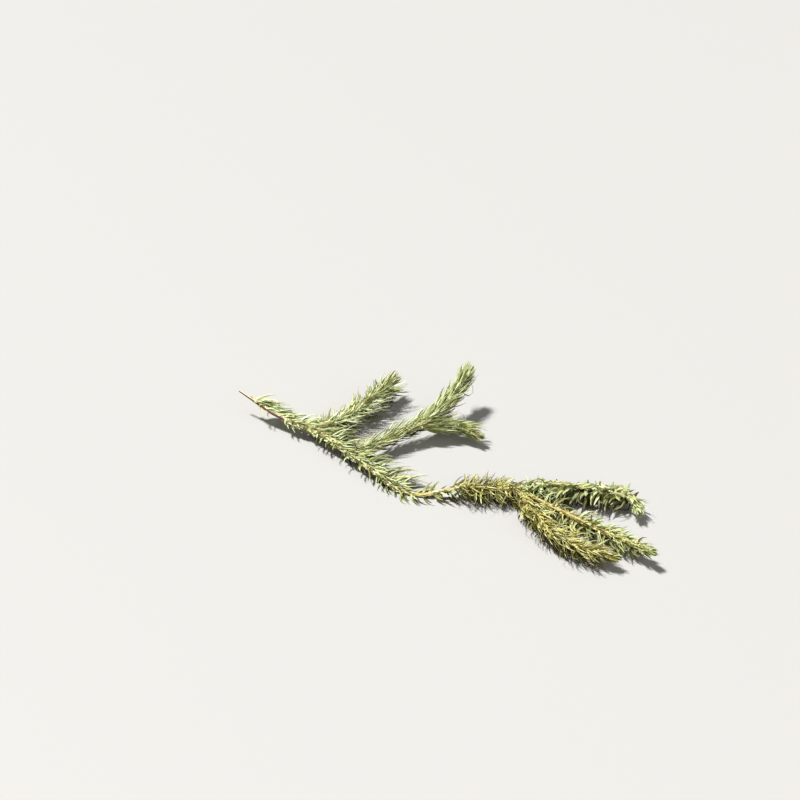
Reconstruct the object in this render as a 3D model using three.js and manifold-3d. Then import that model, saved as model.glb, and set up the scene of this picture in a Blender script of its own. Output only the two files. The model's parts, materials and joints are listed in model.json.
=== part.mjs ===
// Dried common clubmoss: one cut, forked sprig that lies on a flat surface.
// Millimetres, +Z up, origin at the middle of the underside of its box, longest way along X.
// Each stem is a thin tapered axis. Its leaves are a coat: a thin sheath of leaf bases that
// run down the stem, with one pointed leaf on each of its facets. Each tip is a closed leaf bud.

import * as THREE from "three";
import { mergeVertices } from "three/addons/utils/BufferGeometryUtils.js";
import Module from "manifold-3d";

const wasm = await Module();
wasm.setup();

// Driving dimensions of the stems
const STEM_SIDES = 8;
const STEM_STEP = 3;
const GAP = 0.3;

// Driving dimensions of the leaf coats
const SHEATH_WALL = 0.35;
const SHEATH_TAPER = 0.8;
const ROW_PITCH = 1.5;
const LEAVES_PER_ROW = 6;
const SHORTEST_LEAF = 0.5;
const ROOM_BETWEEN_SHOOTS = 0.3;
const OTHER_SHEATH_RADIUS = 1.9;
const OWN_CLEARANCE = 0.75;
const LENGTH_VARIATION = 0.22;
const SHORTENING_STEP = 0.85;
const CHECKED_SHARES = [0.35, 0.7, 1];

// Driving dimensions of the leaf buds
const BUD_LENGTH = 4.2;
const BUD_ROWS = 4;
const BUD_TIP_RADIUS = 0.3;
const BUD_LEAF_LENGTH = 3.4;
const BUD_SPREAD_DEG = 20;

// Distance between the points at which a route is measured, and step along a new shoot
const ROUTE_SAMPLE = 0.5;
const START_STEP = 0.1;

// Points nearer than this are one point
const MERGE_DISTANCE = 1e-4;

// Edge of the block of ground that the sprig lies on
const GROUND_SIZE = 300;

// Routes of the axes, each from its fork to its tip
const MAIN_ROUTE = [
  [-52.1, 30.4, 6.6],
  [-43.1, 23.3, 4.4],
  [-37.8, 19.7, 3.7],
  [-30.7, 15.2, 3.3],
  [-20.4, 3.8, 3.1],
  [-14.4, -2.3, 2.3],
  [-9.6, -6.5, 0.9],
  [-5.6, -8.8, 0.56],
  [-1.7, -9.4, 0.75],
  [1.9, -9.4, 1.9],
  [6.6, -9.6, 2.9],
  [13.8, -10, 3.2],
  [19.9, -11.1, 3.1],
  [24.8, -14.5, 3.1],
  [36.3, -24.7, 3.1],
  [45.5, -32.4, 3.3],
  [49.9, -37.2, 4.4],
];
const REAR_TIP_ROUTE = [
  [19.4, -10.9, 3.1],
  [23, -9.5, 3.3],
  [28.2, -9.2, 3.4],
  [34.8, -10.3, 3.6],
  [40.9, -11.3, 3.8],
  [45.5, -12.3, 3.8],
  [48.4, -14.9, 3.4],
  [49.3, -19, 3.1],
];
const MIDDLE_TIP_ROUTE = [
  [21.1, -11.9, 3.1],
  [23, -16.6, 3.1],
  [25.7, -24.3, 3.1],
  [29.5, -30.2, 3.1],
  [34.3, -34.2, 3.1],
  [40.6, -37.8, 3.5],
];
const FIRST_SHOOT_ROUTE = [
  [-30.7, 15.2, 3.3],
  [-27.5, 18.6, 3.5],
  [-22.7, 22.1, 3.9],
  [-17.8, 27.7, 4.5],
  [-14.1, 33, 5.2],
  [-10.5, 37.2, 6],
];
const SECOND_SHOOT_ROUTE = [
  [-20.2, 3.6, 3.1],
  [-17.4, 7.5, 3.3],
  [-12.8, 10.3, 3.7],
  [-8.6, 13, 4.3],
  [-4.9, 15.2, 4.9],
  [-0.4, 18.4, 5.8],
  [3.4, 23.2, 7],
  [7, 28.1, 9],
  [9.6, 33.3, 11.5],
];
const FRONT_BRANCH_ROUTE = [
  [-4.9, 15.2, 4.9],
  [-0.2, 16, 4.6],
  [4.6, 16.6, 4.2],
  [8.3, 15.9, 3.8],
  [11.7, 13.8, 3.4],
];

// Each axis: its route, its radius at the start and at the tip, and the axis that carries it
const AXES = {
  main: { route: MAIN_ROUTE, thick: 0.85, thin: 0.5 },
  rearTip: { route: REAR_TIP_ROUTE, thick: 0.6, thin: 0.42, parent: "main" },
  middleTip: { route: MIDDLE_TIP_ROUTE, thick: 0.6, thin: 0.42, parent: "main" },
  first: { route: FIRST_SHOOT_ROUTE, thick: 0.55, thin: 0.4, parent: "main" },
  second: { route: SECOND_SHOOT_ROUTE, thick: 0.6, thin: 0.4, parent: "main" },
  frontBranch: { route: FRONT_BRANCH_ROUTE, thick: 0.5, thin: 0.4, parent: "second" },
};

// Colours of the dried plant
const STRAW = 0xa9a468;
const PALE_SAGE = 0x97a06a;
const SAGE = 0x7f8a55;
const YELLOW_GREEN = 0x8f944f;
const GOLDEN = 0x9a8f4a;

// Stems, each named for the axis that it follows
const STEMS = [
  { name: "main_stem", axis: "main", colour: STRAW },
  { name: "first_side_shoot_stem", axis: "first", colour: STRAW },
  { name: "second_side_shoot_stem", axis: "second", colour: STRAW },
  { name: "front_branch_stem", axis: "frontBranch", colour: STRAW },
  { name: "rear_tip_stem", axis: "rearTip", colour: STRAW },
  { name: "middle_tip_stem", axis: "middleTip", colour: STRAW },
];

// Leaf coats: the stretch of the axis in mm from its start, leaf length on its left and on its
// right side, the angle between leaf and stem at both ends, and the share of facets with a leaf
const COATS = [
  {
    name: "base_leaves", axis: "main", colour: PALE_SAGE,
    from: 5, to: 25.4, left: 5, right: 2, spread: [36, 46], share: 0.75,
  },
  {
    name: "lower_leaves", axis: "main", colour: PALE_SAGE,
    from: 29.6, to: 40.4, left: 5.2, right: 3.2, spread: [46, 44], share: 1,
  },
  {
    name: "middle_leaves", axis: "main", colour: SAGE,
    from: 44.6, to: 56.6, left: 4.8, right: 2.8, spread: [44, 36], share: 1,
  },
  {
    name: "bare_stretch_leaves", axis: "main", colour: SAGE,
    from: 66.6, to: 75, left: 2.8, right: 3, spread: [30, 40], share: 0.6,
  },
  {
    name: "golden_leaves", axis: "main", colour: GOLDEN,
    from: 75.4, to: 86, left: 4.2, right: 4.4, spread: [48, 46], share: 1,
  },
  {
    name: "front_tip_inner_leaves", axis: "main", colour: YELLOW_GREEN,
    from: 93.6, to: 109, left: 4.4, right: 4.2, spread: [46, 42], share: 1,
  },
  {
    name: "front_tip_outer_leaves", axis: "main", colour: YELLOW_GREEN,
    from: 109.4, to: 122.4, left: 4, right: 4, spread: [42, 32], share: 1,
  },
  {
    name: "first_side_shoot_leaves", axis: "first", colour: PALE_SAGE,
    from: 4, to: 25.4, left: 3.6, right: 3.6, spread: [46, 36], share: 1,
  },
  {
    name: "second_side_shoot_leaves", axis: "second", colour: SAGE,
    from: 4, to: 18.6, left: 4.6, right: 4.2, spread: [38, 30], share: 1,
  },
  {
    name: "rear_branch_leaves", axis: "second", colour: SAGE,
    from: 24, to: 39.2, left: 5, right: 5, spread: [28, 20], share: 1,
  },
  {
    name: "front_branch_leaves", axis: "frontBranch", colour: SAGE,
    from: 5, to: 12.4, left: 4.4, right: 4.6, spread: [30, 24], share: 1,
  },
  {
    name: "rear_tip_leaves", axis: "rearTip", colour: PALE_SAGE,
    from: 5.2, to: 30, left: 4, right: 4.2, spread: [44, 36], share: 1,
  },
  {
    name: "middle_tip_leaves", axis: "middleTip", colour: GOLDEN,
    from: 4.8, to: 29.4, left: 4, right: 4.2, spread: [44, 34], share: 1,
  },
];

// Leaf buds, each at the end of its axis
const BUDS = [
  { name: "front_tip_bud", axis: "main", colour: YELLOW_GREEN },
  { name: "first_side_shoot_bud", axis: "first", colour: PALE_SAGE },
  { name: "rear_branch_bud", axis: "second", colour: SAGE },
  { name: "front_branch_bud", axis: "frontBranch", colour: SAGE },
  { name: "rear_tip_bud", axis: "rearTip", colour: PALE_SAGE },
  { name: "middle_tip_bud", axis: "middleTip", colour: GOLDEN },
];

const SKY = new THREE.Vector3(0, 0, 1);

// An axis as a smooth curve with its length and evenly measured points.
for (const axis of Object.values(AXES)) {
  const points = axis.route.map((point) => new THREE.Vector3(...point));
  axis.curve = new THREE.CatmullRomCurve3(points, false, "centripetal");
  axis.curve.arcLengthDivisions = 600;
  axis.length = axis.curve.getLength();
  axis.samples = axis.curve.getSpacedPoints(Math.round(axis.length / ROUTE_SAMPLE));
}

// The place s mm along an axis: its centre, the way ahead, and its left and upper sides.
function placeOn(axis, s) {
  const share = THREE.MathUtils.clamp(s / axis.length, 0, 1);
  const centre = axis.curve.getPointAt(share);
  const ahead = axis.curve.getTangentAt(share).normalize();
  const left = new THREE.Vector3().crossVectors(SKY, ahead).normalize();
  const above = new THREE.Vector3().crossVectors(ahead, left);
  return { centre, ahead, left, above };
}

function stemRadius(axis, s) {
  return THREE.MathUtils.lerp(axis.thick, axis.thin, s / axis.length);
}

// The direction away from the axis at an angle counted from its left side over the top.
function outward(place, angle) {
  const side = place.left.clone().multiplyScalar(Math.cos(angle));
  return side.addScaledVector(place.above, Math.sin(angle));
}

function ringAt(place, radius, sides, turn) {
  const ring = [];
  for (let j = 0; j < sides; j += 1) {
    const angle = ((j + turn) / sides) * 2 * Math.PI;
    ring.push(place.centre.clone().addScaledVector(outward(place, angle), radius));
  }
  return ring;
}

function solidOf(geometry) {
  const merged = mergeVertices(geometry, MERGE_DISTANCE);
  return new wasm.Manifold(
    new wasm.Mesh({
      numProp: 3,
      vertProperties: merged.attributes.position.array,
      triVerts: new Uint32Array(merged.index.array),
    }),
  );
}

// A skin collects points and triangles, and becomes a closed solid.
class Skin {
  constructor() {
    this.points = [];
    this.faces = [];
  }

  point(position) {
    this.points.push(position);
    return this.points.length - 1;
  }

  ring(positions) {
    return positions.map((position) => this.point(position));
  }

  // Four-sided face, or a pointed leaf on it where a tip is given.
  facet(a, b, c, d, tip) {
    if (!tip) {
      this.faces.push([a, b, c], [a, c, d]);
      return;
    }
    const t = this.point(tip);
    this.faces.push([a, b, t], [b, c, t], [c, d, t], [d, a, t]);
  }

  band(back, front, tipOf = () => null) {
    const sides = back.length;
    for (let j = 0; j < sides; j += 1) {
      const next = (j + 1) % sides;
      this.facet(back[j], back[next], front[next], front[j], tipOf(j));
    }
  }

  cap(ring, centre, facesAhead) {
    const middle = this.point(centre);
    ring.forEach((corner, j) => {
      const next = ring[(j + 1) % ring.length];
      this.faces.push(facesAhead ? [corner, next, middle] : [next, corner, middle]);
    });
  }

  // The middle of the facet between two rings.
  middleOf(back, front, j) {
    const next = (j + 1) % back.length;
    const corners = [back[j], back[next], front[next], front[j]];
    const sum = new THREE.Vector3();
    corners.forEach((corner) => sum.add(this.points[corner]));
    return sum.divideScalar(corners.length);
  }

  solid() {
    const geometry = new THREE.BufferGeometry().setFromPoints(this.points);
    geometry.setIndex(this.faces.flat());
    return solidOf(geometry);
  }
}

// The ground under the sprig, as a solid that presses flat whatever reaches into it.
const groundBlock = new THREE.BoxGeometry(GROUND_SIZE, GROUND_SIZE, GROUND_SIZE);
groundBlock.translate(0, 0, -GROUND_SIZE / 2);
groundBlock.deleteAttribute("normal");
groundBlock.deleteAttribute("uv");
const ground = solidOf(groundBlock);

function pressedMesh(name, colour, skin) {
  const mesh = skin.solid().subtract(ground).getMesh();
  const geometry = new THREE.BufferGeometry();
  geometry.setAttribute("position", new THREE.BufferAttribute(mesh.vertProperties, 3));
  geometry.setIndex(new THREE.BufferAttribute(mesh.triVerts, 1));
  const material = new THREE.MeshStandardMaterial({
    color: colour, roughness: 0.85, metalness: 0, flatShading: true,
  });
  const made = new THREE.Mesh(geometry, material);
  made.name = name;
  return made;
}

// Where a side stem starts: the first place at which its whole rim clears its parent.
function clearStart(axis) {
  if (!axis.parent) {
    return 0;
  }
  const parent = AXES[axis.parent];
  let s = 0;
  for (;;) {
    const rim = ringAt(placeOn(axis, s), stemRadius(axis, s), STEM_SIDES, 0);
    const nearest = Math.min(...rim.map((point) => distanceTo(parent, point)));
    if (nearest > parent.thick + GAP) {
      return s;
    }
    s += START_STEP;
  }
}

function distanceTo(axis, point, from = 0) {
  let nearest = Infinity;
  for (let k = Math.floor(from / ROUTE_SAMPLE); k < axis.samples.length; k += 1) {
    nearest = Math.min(nearest, axis.samples[k].distanceTo(point));
  }
  return nearest;
}

for (const axis of Object.values(AXES)) {
  axis.start = clearStart(axis);
}

// A leaf stops short of its neighbours: it stays nearer to its own axis than to another shoot,
// and where its own shoot bends towards it, it stays clear of the leaves further on.
function hasRoom(own, root, tip, rise) {
  if (distanceTo(own, tip) < distanceTo(own, root) + OWN_CLEARANCE * rise) {
    return false;
  }
  return CHECKED_SHARES.every((share) => {
    const point = root.clone().lerp(tip, share);
    const toOwn = distanceTo(own, point);
    return Object.values(AXES).every((other) => {
      if (other === own) {
        return true;
      }
      const toOther = distanceTo(other, point, other.start);
      return toOther > toOwn + ROOM_BETWEEN_SHOOTS && toOther > OTHER_SHEATH_RADIUS;
    });
  });
}

// A repeatable value from 0 to 1 for a row and a leaf.
function chance(row, leaf) {
  const wave = Math.sin(row * 12.9898 + leaf * 78.233) * 43758.5453;
  return wave - Math.floor(wave);
}

function leafTip(axis, place, root, angle, spread, length) {
  const away = outward(place, angle);
  const lean = place.ahead.clone().multiplyScalar(Math.cos(spread));
  lean.addScaledVector(away, Math.sin(spread));
  for (let reach = length; reach > SHORTEST_LEAF; reach *= SHORTENING_STEP) {
    const tip = root.clone().addScaledVector(lean, reach);
    if (hasRoom(axis, root, tip, reach * Math.sin(spread))) {
      return tip;
    }
  }
  return null;
}

function stemSkin(axis) {
  const skin = new Skin();
  const end = axis.length - BUD_LENGTH - GAP;
  const count = Math.ceil((end - axis.start) / STEM_STEP);
  let back = null;
  for (let k = 0; k <= count; k += 1) {
    const s = THREE.MathUtils.lerp(axis.start, end, k / count);
    const place = placeOn(axis, s);
    const ring = skin.ring(ringAt(place, stemRadius(axis, s), STEM_SIDES, 0));
    if (back) {
      skin.band(back, ring);
    } else {
      skin.cap(ring, place.centre, false);
    }
    if (k === count) {
      skin.cap(ring, place.centre, true);
    }
    back = ring;
  }
  return skin;
}

function coatSkin(coat) {
  const axis = AXES[coat.axis];
  const skin = new Skin();
  const rows = Math.round((coat.to - coat.from) / ROW_PITCH);
  const outer = [];
  const inner = [];
  const places = [];
  for (let row = 0; row <= rows; row += 1) {
    const s = THREE.MathUtils.lerp(coat.from, coat.to, row / rows);
    const place = placeOn(axis, s);
    const bore = (stemRadius(axis, s) + GAP) / Math.cos(Math.PI / LEAVES_PER_ROW);
    const atEnd = row === 0 || row === rows;
    const wall = atEnd ? SHEATH_WALL * SHEATH_TAPER : SHEATH_WALL;
    const halfTurn = halfTurnOf(row);
    places.push(place);
    outer.push(skin.ring(ringAt(place, bore + wall, LEAVES_PER_ROW, halfTurn)));
    inner.push(skin.ring(ringAt(place, bore, LEAVES_PER_ROW, halfTurn)));
  }
  for (let row = 0; row < rows; row += 1) {
    const spreadDeg = THREE.MathUtils.lerp(coat.spread[0], coat.spread[1], row / rows);
    const spread = THREE.MathUtils.degToRad(spreadDeg);
    const shift = halfTurnOf(row);
    const back = outer[row];
    const front = shift ? turned(outer[row + 1], 1) : outer[row + 1];
    skin.band(back, front, (leaf) => {
      if (chance(row, leaf) > coat.share) {
        return null;
      }
      const root = skin.middleOf(back, front, leaf);
      const angle = ((leaf + 0.75 + shift) / LEAVES_PER_ROW) * 2 * Math.PI;
      const leftShare = (1 + Math.cos(angle)) / 2;
      const usual = THREE.MathUtils.lerp(coat.right, coat.left, leftShare);
      const length = usual * (1 - LENGTH_VARIATION * chance(leaf, row));
      return leafTip(axis, places[row], root, angle, spread, length);
    });
    const innerFront = shift ? turned(inner[row + 1], 1) : inner[row + 1];
    skin.band(innerFront, inner[row]);
  }
  skin.band(inner[0], outer[0]);
  skin.band(outer[rows], inner[rows]);
  return skin;
}

// Every other row is turned by half a leaf.
function halfTurnOf(row) {
  return (row % 2) / 2;
}

// A ring that starts some corners later, so that rows with a half turn face each other.
function turned(ring, corners) {
  return ring.map((_, j) => ring[(j + corners) % ring.length]);
}

function budSkin(axis) {
  const skin = new Skin();
  const start = axis.length - BUD_LENGTH;
  const spread = THREE.MathUtils.degToRad(BUD_SPREAD_DEG);
  const wide = stemRadius(axis, start) + GAP + SHEATH_WALL;
  let back = null;
  for (let row = 0; row <= BUD_ROWS; row += 1) {
    const share = row / BUD_ROWS;
    const place = placeOn(axis, start + share * BUD_LENGTH);
    const radius = THREE.MathUtils.lerp(wide, BUD_TIP_RADIUS, share * share);
    const ring = skin.ring(ringAt(place, radius, LEAVES_PER_ROW, 0));
    if (back) {
      skin.band(back, ring, (leaf) => {
        const root = skin.middleOf(back, ring, leaf);
        const angle = ((leaf + 0.5) / LEAVES_PER_ROW) * 2 * Math.PI;
        const length = BUD_LEAF_LENGTH * (1 - LENGTH_VARIATION * chance(row, leaf));
        return leafTip(axis, place, root, angle, spread, length);
      });
    } else {
      skin.cap(ring, place.centre, false);
    }
    if (row === BUD_ROWS) {
      skin.cap(ring, place.centre, true);
    }
    back = ring;
  }
  return skin;
}

const sprig = new THREE.Group();
for (const stem of STEMS) {
  sprig.add(pressedMesh(stem.name, stem.colour, stemSkin(AXES[stem.axis])));
}
for (const coat of COATS) {
  sprig.add(pressedMesh(coat.name, coat.colour, coatSkin(coat)));
}
for (const bud of BUDS) {
  sprig.add(pressedMesh(bud.name, bud.colour, budSkin(AXES[bud.axis])));
}

// The origin lies under the middle of the sprig's box.
const box = new THREE.Box3().setFromObject(sprig);
const middle = box.getCenter(new THREE.Vector3());
sprig.position.set(-middle.x, -middle.y, -box.min.z);

export default sprig;
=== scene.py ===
"""Dried common clubmoss: one cut, forked sprig that lies flat, with its floor, light and camera.

The frame gives each stem, leaf coat and leaf bud at its real size. Here each is made again in
full detail along the same route: ridged stems, and a coat of separate dried leaves whose bases
run down the stem. One geometry node tree grows all stems, and another grows all leaves.
"""

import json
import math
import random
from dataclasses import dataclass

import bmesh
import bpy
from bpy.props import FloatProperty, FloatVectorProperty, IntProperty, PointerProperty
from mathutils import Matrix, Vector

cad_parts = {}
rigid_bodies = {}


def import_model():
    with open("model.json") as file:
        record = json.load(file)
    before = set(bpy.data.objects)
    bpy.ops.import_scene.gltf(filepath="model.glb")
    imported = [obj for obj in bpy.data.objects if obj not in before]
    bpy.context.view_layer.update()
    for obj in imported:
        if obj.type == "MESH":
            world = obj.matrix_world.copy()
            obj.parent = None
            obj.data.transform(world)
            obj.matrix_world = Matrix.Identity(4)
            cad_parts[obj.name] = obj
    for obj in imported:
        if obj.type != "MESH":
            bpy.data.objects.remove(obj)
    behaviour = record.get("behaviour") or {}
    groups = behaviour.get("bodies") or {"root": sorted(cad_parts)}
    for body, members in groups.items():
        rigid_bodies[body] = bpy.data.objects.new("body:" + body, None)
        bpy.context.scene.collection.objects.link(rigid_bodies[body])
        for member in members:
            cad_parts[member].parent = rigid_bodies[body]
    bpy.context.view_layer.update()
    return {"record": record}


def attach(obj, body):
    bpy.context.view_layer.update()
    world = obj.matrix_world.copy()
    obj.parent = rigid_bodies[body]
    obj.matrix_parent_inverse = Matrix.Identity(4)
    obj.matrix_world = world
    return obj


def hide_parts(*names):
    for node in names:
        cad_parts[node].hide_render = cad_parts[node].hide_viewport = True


bl_info = {
    "name": "Dried clubmoss sprig",
    "version": (1, 0, 0),
    "blender": (4, 5, 0),
    "location": "View3D > Sidebar > Clubmoss",
    "description": "Grows a dried clubmoss sprig: ridged stems, coats of narrow leaves and leaf buds",
    "category": "Add Mesh",
}

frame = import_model()

MM = 0.001
BODY = "root"
SLOT_OF_NODE = {part["node"]: part["material_slot"] for part in frame["record"]["subparts"]}

# Routes of the stems in millimetres, each from its fork to its tip
MAIN_ROUTE = [
    (-52.1, 30.4, 6.6),
    (-43.1, 23.3, 4.4),
    (-37.8, 19.7, 3.7),
    (-30.7, 15.2, 3.3),
    (-20.4, 3.8, 3.1),
    (-14.4, -2.3, 2.3),
    (-9.6, -6.5, 0.9),
    (-5.6, -8.8, 0.56),
    (-1.7, -9.4, 0.75),
    (1.9, -9.4, 1.9),
    (6.6, -9.6, 2.9),
    (13.8, -10, 3.2),
    (19.9, -11.1, 3.1),
    (24.8, -14.5, 3.1),
    (36.3, -24.7, 3.1),
    (45.5, -32.4, 3.3),
    (49.9, -37.2, 4.4),
]
REAR_TIP_ROUTE = [
    (19.4, -10.9, 3.1),
    (23, -9.5, 3.3),
    (28.2, -9.2, 3.4),
    (34.8, -10.3, 3.6),
    (40.9, -11.3, 3.8),
    (45.5, -12.3, 3.8),
    (48.4, -14.9, 3.4),
    (49.3, -19, 3.1),
]
MIDDLE_TIP_ROUTE = [
    (21.1, -11.9, 3.1),
    (23, -16.6, 3.1),
    (25.7, -24.3, 3.1),
    (29.5, -30.2, 3.1),
    (34.3, -34.2, 3.1),
    (40.6, -37.8, 3.5),
]
FIRST_SHOOT_ROUTE = [
    (-30.7, 15.2, 3.3),
    (-27.5, 18.6, 3.5),
    (-22.7, 22.1, 3.9),
    (-17.8, 27.7, 4.5),
    (-14.1, 33, 5.2),
    (-10.5, 37.2, 6),
]
SECOND_SHOOT_ROUTE = [
    (-20.2, 3.6, 3.1),
    (-17.4, 7.5, 3.3),
    (-12.8, 10.3, 3.7),
    (-8.6, 13, 4.3),
    (-4.9, 15.2, 4.9),
    (-0.4, 18.4, 5.8),
    (3.4, 23.2, 7),
    (7, 28.1, 9),
    (9.6, 33.3, 11.5),
]
FRONT_BRANCH_ROUTE = [
    (-4.9, 15.2, 4.9),
    (-0.2, 16, 4.6),
    (4.6, 16.6, 4.2),
    (8.3, 15.9, 3.8),
    (11.7, 13.8, 3.4),
]
ROUTE_STEP = 0.4
KNOT_POWER = 0.25


def lerp(a, b, share):
    return a + (b - a) * share


def segment_point(knots, share):
    """A point between the second and third of four knots, on a centripetal smooth curve."""
    before, a, b, after = knots
    gaps = [(q - p).length_squared ** KNOT_POWER for p, q in ((before, a), (a, b), (b, after))]
    leave = (a - before) / gaps[0] - (b - before) / (gaps[0] + gaps[1]) + (b - a) / gaps[1]
    arrive = (b - a) / gaps[1] - (after - a) / (gaps[1] + gaps[2]) + (after - b) / gaps[2]
    leave *= gaps[1]
    arrive *= gaps[1]
    square = (b - a) * 3 - leave * 2 - arrive
    cube = (a - b) * 2 + leave + arrive
    return a + leave * share + square * share**2 + cube * share**3


def smooth_route(route):
    """Close points in metres along the smooth curve through a route in millimetres."""
    knots = [Vector(point) for point in route]
    knots.insert(0, knots[0] * 2 - knots[1])
    knots.append(knots[-1] * 2 - knots[-2])
    points = []
    for k in range(1, len(knots) - 2):
        steps = math.ceil((knots[k + 1] - knots[k]).length / ROUTE_STEP)
        points += [segment_point(knots[k - 1:k + 3], i / steps) for i in range(steps)]
    points.append(knots[-2])
    return [point * MM for point in points]


class Axis:
    """The centre line of one stem, with its radius in mm at its start and at its tip."""

    def __init__(self, route, thick, thin):
        self.points = smooth_route(route)
        self.thick = thick
        self.thin = thin
        pairs = zip(self.points, self.points[1:])
        self.length = sum((b - a).length for a, b in pairs) / MM

    def radius(self, s):
        return lerp(self.thick, self.thin, s / self.length)

    def host(self):
        """A curve object along the axis, for a geometry node tree to grow on."""
        curve = bpy.data.curves.new("route", "CURVE")
        curve.dimensions = "3D"
        spline = curve.splines.new("POLY")
        spline.points.add(len(self.points) - 1)
        for knot, point in zip(spline.points, self.points):
            knot.co = (*point, 1)
        made = bpy.data.objects.new("route", curve)
        bpy.context.scene.collection.objects.link(made)
        return made


AXES = {
    "main": Axis(MAIN_ROUTE, 0.52, 0.36),
    "rear_tip": Axis(REAR_TIP_ROUTE, 0.45, 0.35),
    "middle_tip": Axis(MIDDLE_TIP_ROUTE, 0.45, 0.35),
    "first_shoot": Axis(FIRST_SHOOT_ROUTE, 0.45, 0.35),
    "second_shoot": Axis(SECOND_SHOOT_ROUTE, 0.5, 0.35),
    "front_branch": Axis(FRONT_BRANCH_ROUTE, 0.42, 0.35),
}

STEMS = {
    "main_stem": "main", "first_side_shoot_stem": "first_shoot",
    "second_side_shoot_stem": "second_shoot", "front_branch_stem": "front_branch",
    "rear_tip_stem": "rear_tip", "middle_tip_stem": "middle_tip",
}
STEM_END = 3.0


@dataclass
class Coat:
    """One coat of leaves. Places and lengths are in mm and angles in degrees.

    start and end are distances along the axis. left and right are the leaf lengths on those
    sides of it, and angles are between leaf and stem at both ends. flat is how far the coat is
    pressed flat, top how close the upper leaves lie to the stem, and loose how far the leaves
    stray. bend is the share of the more and more bent leaves that it uses, and curled the share
    of curled ones. kept is the share on the left, right, top and underside that has not
    dropped off, and shade how strongly painted shade darkens the leaves under the stem. width
    is against the usual leaf, and end_length against the first one. finish names another
    finish than the node's own.
    """

    node: str
    axis: str
    start: float
    end: float
    left: float
    right: float
    angles: tuple
    flat: float = 0.4
    top: float = 0.5
    loose: float = 11
    bend: float = 0.6
    curled: float = 0.12
    kept: tuple = (1, 1, 1, 1)
    shade: float = 1
    dense: float = 1
    end_length: float = 1
    width: float = 1
    finish: str = ""


FEATHERY = {"flat": 0.5, "top": 0.9, "loose": 8, "curled": 0.04, "dense": 1, "width": 1.02}
BUNDLED = {"loose": 8.5, "bend": 0.35, "curled": 0.04, "dense": 0.9, "width": 1.15}
MESSY = {"loose": 22, "bend": 1}
COATS = [
    Coat(
        "base_leaves", "main", 5, 27, 6.4, 3.4, (32, 50), kept=(1, 0.06, 1, 0),
        shade=0.6, **(FEATHERY | {"width": 1.35, "dense": 1.25}),
    ),
    Coat("lower_leaves", "main", 27, 42, 8.6, 3.6, (54, 56), kept=(1, 0.22, 1, 0.25), **FEATHERY),
    Coat("middle_leaves", "main", 42, 58, 8.8, 3.8, (54, 46), kept=(1, 0.25, 1, 0.3), **FEATHERY),
    Coat(
        "bare_stretch_leaves", "main", 58, 75, 5, 5, (40, 50), kept=(0.5, 0.5, 0.3, 0.4),
        curled=0.2, width=1.6,
    ),
    Coat(
        "golden_leaves", "main", 75, 88, 4.6, 6, (78, 70), curled=0.4, kept=(1, 1, 0.8, 1),
        flat=0.6, dense=1.6, **MESSY,
    ),
    Coat(
        "front_tip_inner_leaves", "main", 88, 109, 6, 6.8, (58, 50), curled=0.12,
        kept=(1, 1, 0.05, 1), shade=0.7, dense=1.2, width=1.35, **MESSY,
    ),
    Coat(
        "front_tip_outer_leaves", "main", 109, 123, 5.4, 6.6, (46, 16), curled=0.14,
        kept=(0.9, 1, 0.5, 1), shade=0.7, dense=1.1, end_length=0.7, width=1.3, **MESSY,
    ),
    Coat(
        "first_side_shoot_leaves", "first_shoot", 1, 26, 5.2, 7.2, (60, 42), flat=0.6, top=0.85,
        loose=11, curled=0.05, kept=(0.7, 1, 1, 0.8), dense=0.95, end_length=1.1, width=1.18,
    ),
    Coat(
        "second_side_shoot_leaves", "second_shoot", 1, 20, 8, 6.6, (21, 16),
        kept=(0.45, 0.65, 1, 0.6), **BUNDLED,
    ),
    Coat(
        "rear_branch_leaves", "second_shoot", 20, 40, 8.6, 8.4, (19, 12), end_length=0.85,
        shade=0.8, **BUNDLED,
    ),
    Coat(
        "front_branch_leaves", "front_branch", 1, 13, 7.2, 7.2, (14, 9), shade=0.5, **BUNDLED,
    ),
    Coat(
        "rear_tip_leaves", "rear_tip", 1.5, 31, 3.8, 7.2, (112, 98), flat=0.75, top=0.95,
        curled=0.08, kept=(0.4, 1, 0.4, 0.9), shade=1, loose=14, bend=0.55, dense=0.95, width=2.2,
    ),
    Coat(
        "middle_tip_leaves", "middle_tip", 1.5, 30, 6.4, 7, (14, 38), top=0.9, curled=0.14,
        dense=1.15, end_length=0.85, width=1.05, **(MESSY | {"loose": 17}),
    ),
]
BRAIDED = {
    "flat": 0.3, "top": 0, "loose": 8, "bend": 0.4, "curled": 0, "shade": 0.7, "dense": 0.5,
    "finish": "leaf_base",
}
BRAIDS = {
    "main_stem_leaf_bases": Coat(
        "lower_leaves", "main", 17, 57, 2.6, 2.1, (15, 15), width=1.7, **BRAIDED,
    ),
    "first_side_shoot_leaf_bases": Coat(
        "first_side_shoot_leaves", "first_shoot", 1, 22, 2.9, 2.6, (18, 18), width=1.9, **BRAIDED,
    ),
    "rear_tip_leaf_bases": Coat(
        "rear_tip_leaves", "rear_tip", 4, 31, 2.4, 2.4, (15, 15), width=1.7, **BRAIDED,
    ),
}
WORN_LENGTH = 14
WORN_SHARE = 0.45

NEXT_SEED = 100
BUD_SEED = 5000
BASE_SEED = 8000
BUD_LENGTH = 5.0
BUDS = {
    "front_tip_bud": ("main", 4.2, 18),
    "first_side_shoot_bud": ("first_shoot", 6.4, 34),
    "rear_branch_bud": ("second_shoot", 5.8, 18),
    "front_branch_bud": ("front_branch", 5.2, 14),
    "rear_tip_bud": ("rear_tip", 5.4, 22),
    "middle_tip_bud": ("middle_tip", 5, 22),
}


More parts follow.
